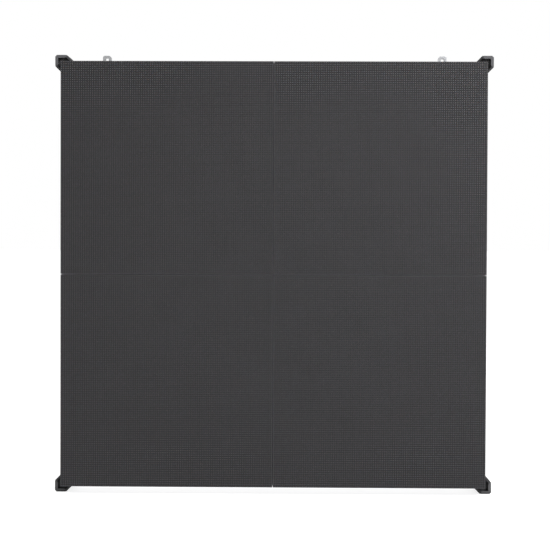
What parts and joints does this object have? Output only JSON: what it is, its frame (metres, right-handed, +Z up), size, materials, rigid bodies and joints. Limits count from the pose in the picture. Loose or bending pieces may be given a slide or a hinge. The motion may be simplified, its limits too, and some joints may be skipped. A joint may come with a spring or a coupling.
{
  "type": "LED video wall panel",
  "caption": "Square LED video wall panel for stage rental: four magnetic LED modules on a cast frame with sliding corner guards, hook latches, power box and handle.",
  "frame": {"origin": "under the middle of the panel, level with the undersides of the extended lower corner guards, half way between the LED face and the rear cover", "axes": "+X to the right as the audience sees it, +Y from the LED face towards the rear, +Z up"},
  "size_m": [0.517, 0.076, 0.5185],
  "materials": {
    "frame_casting": "fine textured silver-grey powder coat on die-cast aluminium",
    "module_mask": "matt black louvred polycarbonate",
    "circuit_board": "green solder mask with black driver chips",
    "module_case": "black glass-filled plastic",
    "zinc_steel": "zinc plated",
    "bottom_hook_steel": "hardened steel, satin nickel plated",
    "magnet_nickel": "nickel plated magnet",
    "connector_plastic": "black connector body",
    "guard_nylon": "grey-black glass-filled nylon",
    "guard_rubber": "matt black",
    "latch_grip": "black moulded nylon",
    "box_casting": "fine textured black powder coat",
    "supply_steel": "folded galvanised sheet",
    "socket_power_in": "blue socket body",
    "socket_power_out": "light grey socket body",
    "socket_data": "black plated die-cast flange",
    "lead_insulation": "black insulated lead",
    "status_lens": "clear light pipe",
    "button_plastic": "red",
    "handle_steel": "black coated steel",
    "handle_rubber": "soft matt black sleeve"
  },
  "bodies": {
    "cabinet": {"button_spring": "zinc_steel", "cabinet_frame": "frame_casting", "cover_screws": "zinc_steel", "cover_seal": "guard_rubber", "data_in_socket": "socket_data", "data_out_socket": "socket_data", "hub_board": "circuit_board", "inner_screws": "zinc_steel", "led_board_lower_left": "circuit_board", "led_board_lower_right": "circuit_board", "led_board_upper_left": "circuit_board", "led_board_upper_right": "circuit_board", "magnet_plates": "zinc_steel", "module_case_lower_left": "module_case", "module_case_lower_right": "module_case", "module_case_upper_left": "module_case", "module_case_upper_right": "module_case", "module_headers": "connector_plastic", "module_magnets": "magnet_nickel", "module_mask_lower_left": "module_mask", "module_mask_lower_right": "module_mask", "module_mask_upper_left": "module_mask", "module_mask_upper_right": "module_mask", "module_screws": "zinc_steel", "pivot_pins": "zinc_steel", "power_box_shell": "box_casting", "power_in_socket": "socket_power_in", "power_out_socket": "socket_power_out", "power_supply": "supply_steel", "rear_cover": "box_casting", "rear_inserts": "zinc_steel", "receiving_card": "circuit_board", "rigging_inserts": "zinc_steel", "side_pins": "zinc_steel", "status_lenses": "status_lens", "striker_screws": "zinc_steel", "supply_leads": "lead_insulation", "top_striker_left": "zinc_steel", "top_striker_right": "zinc_steel"},
    "guard_upper_right": {"corner_guard_upper_right": "guard_nylon", "guard_pad_upper_right": "guard_rubber"},
    "guard_upper_left": {"corner_guard_upper_left": "guard_nylon", "guard_pad_upper_left": "guard_rubber"},
    "guard_lower_right": {"corner_guard_lower_right": "guard_nylon", "guard_pad_lower_right": "guard_rubber"},
    "guard_lower_left": {"corner_guard_lower_left": "guard_nylon", "guard_pad_lower_left": "guard_rubber"},
    "bottom_latch_right": {"bottom_hook_right": "bottom_hook_steel", "hook_grip_right": "latch_grip"},
    "bottom_latch_left": {"bottom_hook_left": "bottom_hook_steel", "hook_grip_left": "latch_grip"},
    "side_latch_upper": {"side_hook_upper": "bottom_hook_steel", "side_shaft_upper": "zinc_steel", "side_lever_upper": "latch_grip"},
    "side_latch_lower": {"side_hook_lower": "bottom_hook_steel", "side_shaft_lower": "zinc_steel", "side_lever_lower": "latch_grip"},
    "handle": {"handle_bail": "handle_steel", "handle_grip": "handle_rubber"},
    "test_button": {"test_button": "button_plastic"}
  },
  "joints": [
    {"name": "guard_upper_right_slide", "type": "slide", "parent": "cabinet", "child": "guard_upper_right", "axis": [-0.7071, 0, -0.7071], "range_m": [0, 0.01202]},
    {"name": "guard_upper_left_slide", "type": "slide", "parent": "cabinet", "child": "guard_upper_left", "axis": [0.7071, 0, -0.7071], "range_m": [0, 0.01202]},
    {"name": "guard_lower_right_slide", "type": "slide", "parent": "cabinet", "child": "guard_lower_right", "axis": [-0.7071, 0, 0.7071], "range_m": [0, 0.01202]},
    {"name": "guard_lower_left_slide", "type": "slide", "parent": "cabinet", "child": "guard_lower_left", "axis": [0.7071, 0, 0.7071], "range_m": [0, 0.01202]},
    {"name": "bottom_latch_right_pivot", "type": "hinge", "parent": "cabinet", "child": "bottom_latch_right", "pos_m": [0.2, 0.008, 0.0325], "axis": [-1, 0, 0], "range_deg": [0, 50]},
    {"name": "bottom_latch_left_pivot", "type": "hinge", "parent": "cabinet", "child": "bottom_latch_left", "pos_m": [-0.2, 0.008, 0.0325], "axis": [-1, 0, 0], "range_deg": [0, 50]},
    {"name": "side_latch_upper_turn", "type": "hinge", "parent": "cabinet", "child": "side_latch_upper", "pos_m": [0.2297, 0, 0.4085], "axis": [0, 1, 0], "range_deg": [0, 90]},
    {"name": "side_latch_lower_turn", "type": "hinge", "parent": "cabinet", "child": "side_latch_lower", "pos_m": [0.2297, 0, 0.1085], "axis": [0, 1, 0], "range_deg": [0, 90]},
    {"name": "handle_lift", "type": "hinge", "parent": "cabinet", "child": "handle", "pos_m": [0, 0.009, 0.4785], "axis": [1, 0, 0], "range_deg": [0, 95]},
    {"name": "test_button_push", "type": "slide", "parent": "cabinet", "child": "test_button", "axis": [0, -1, 0], "range_m": [0, 0.0015], "stiffness_N_per_m": 1200, "springref_m": -0.0008, "deforming": ["button_spring"]}
  ]
}
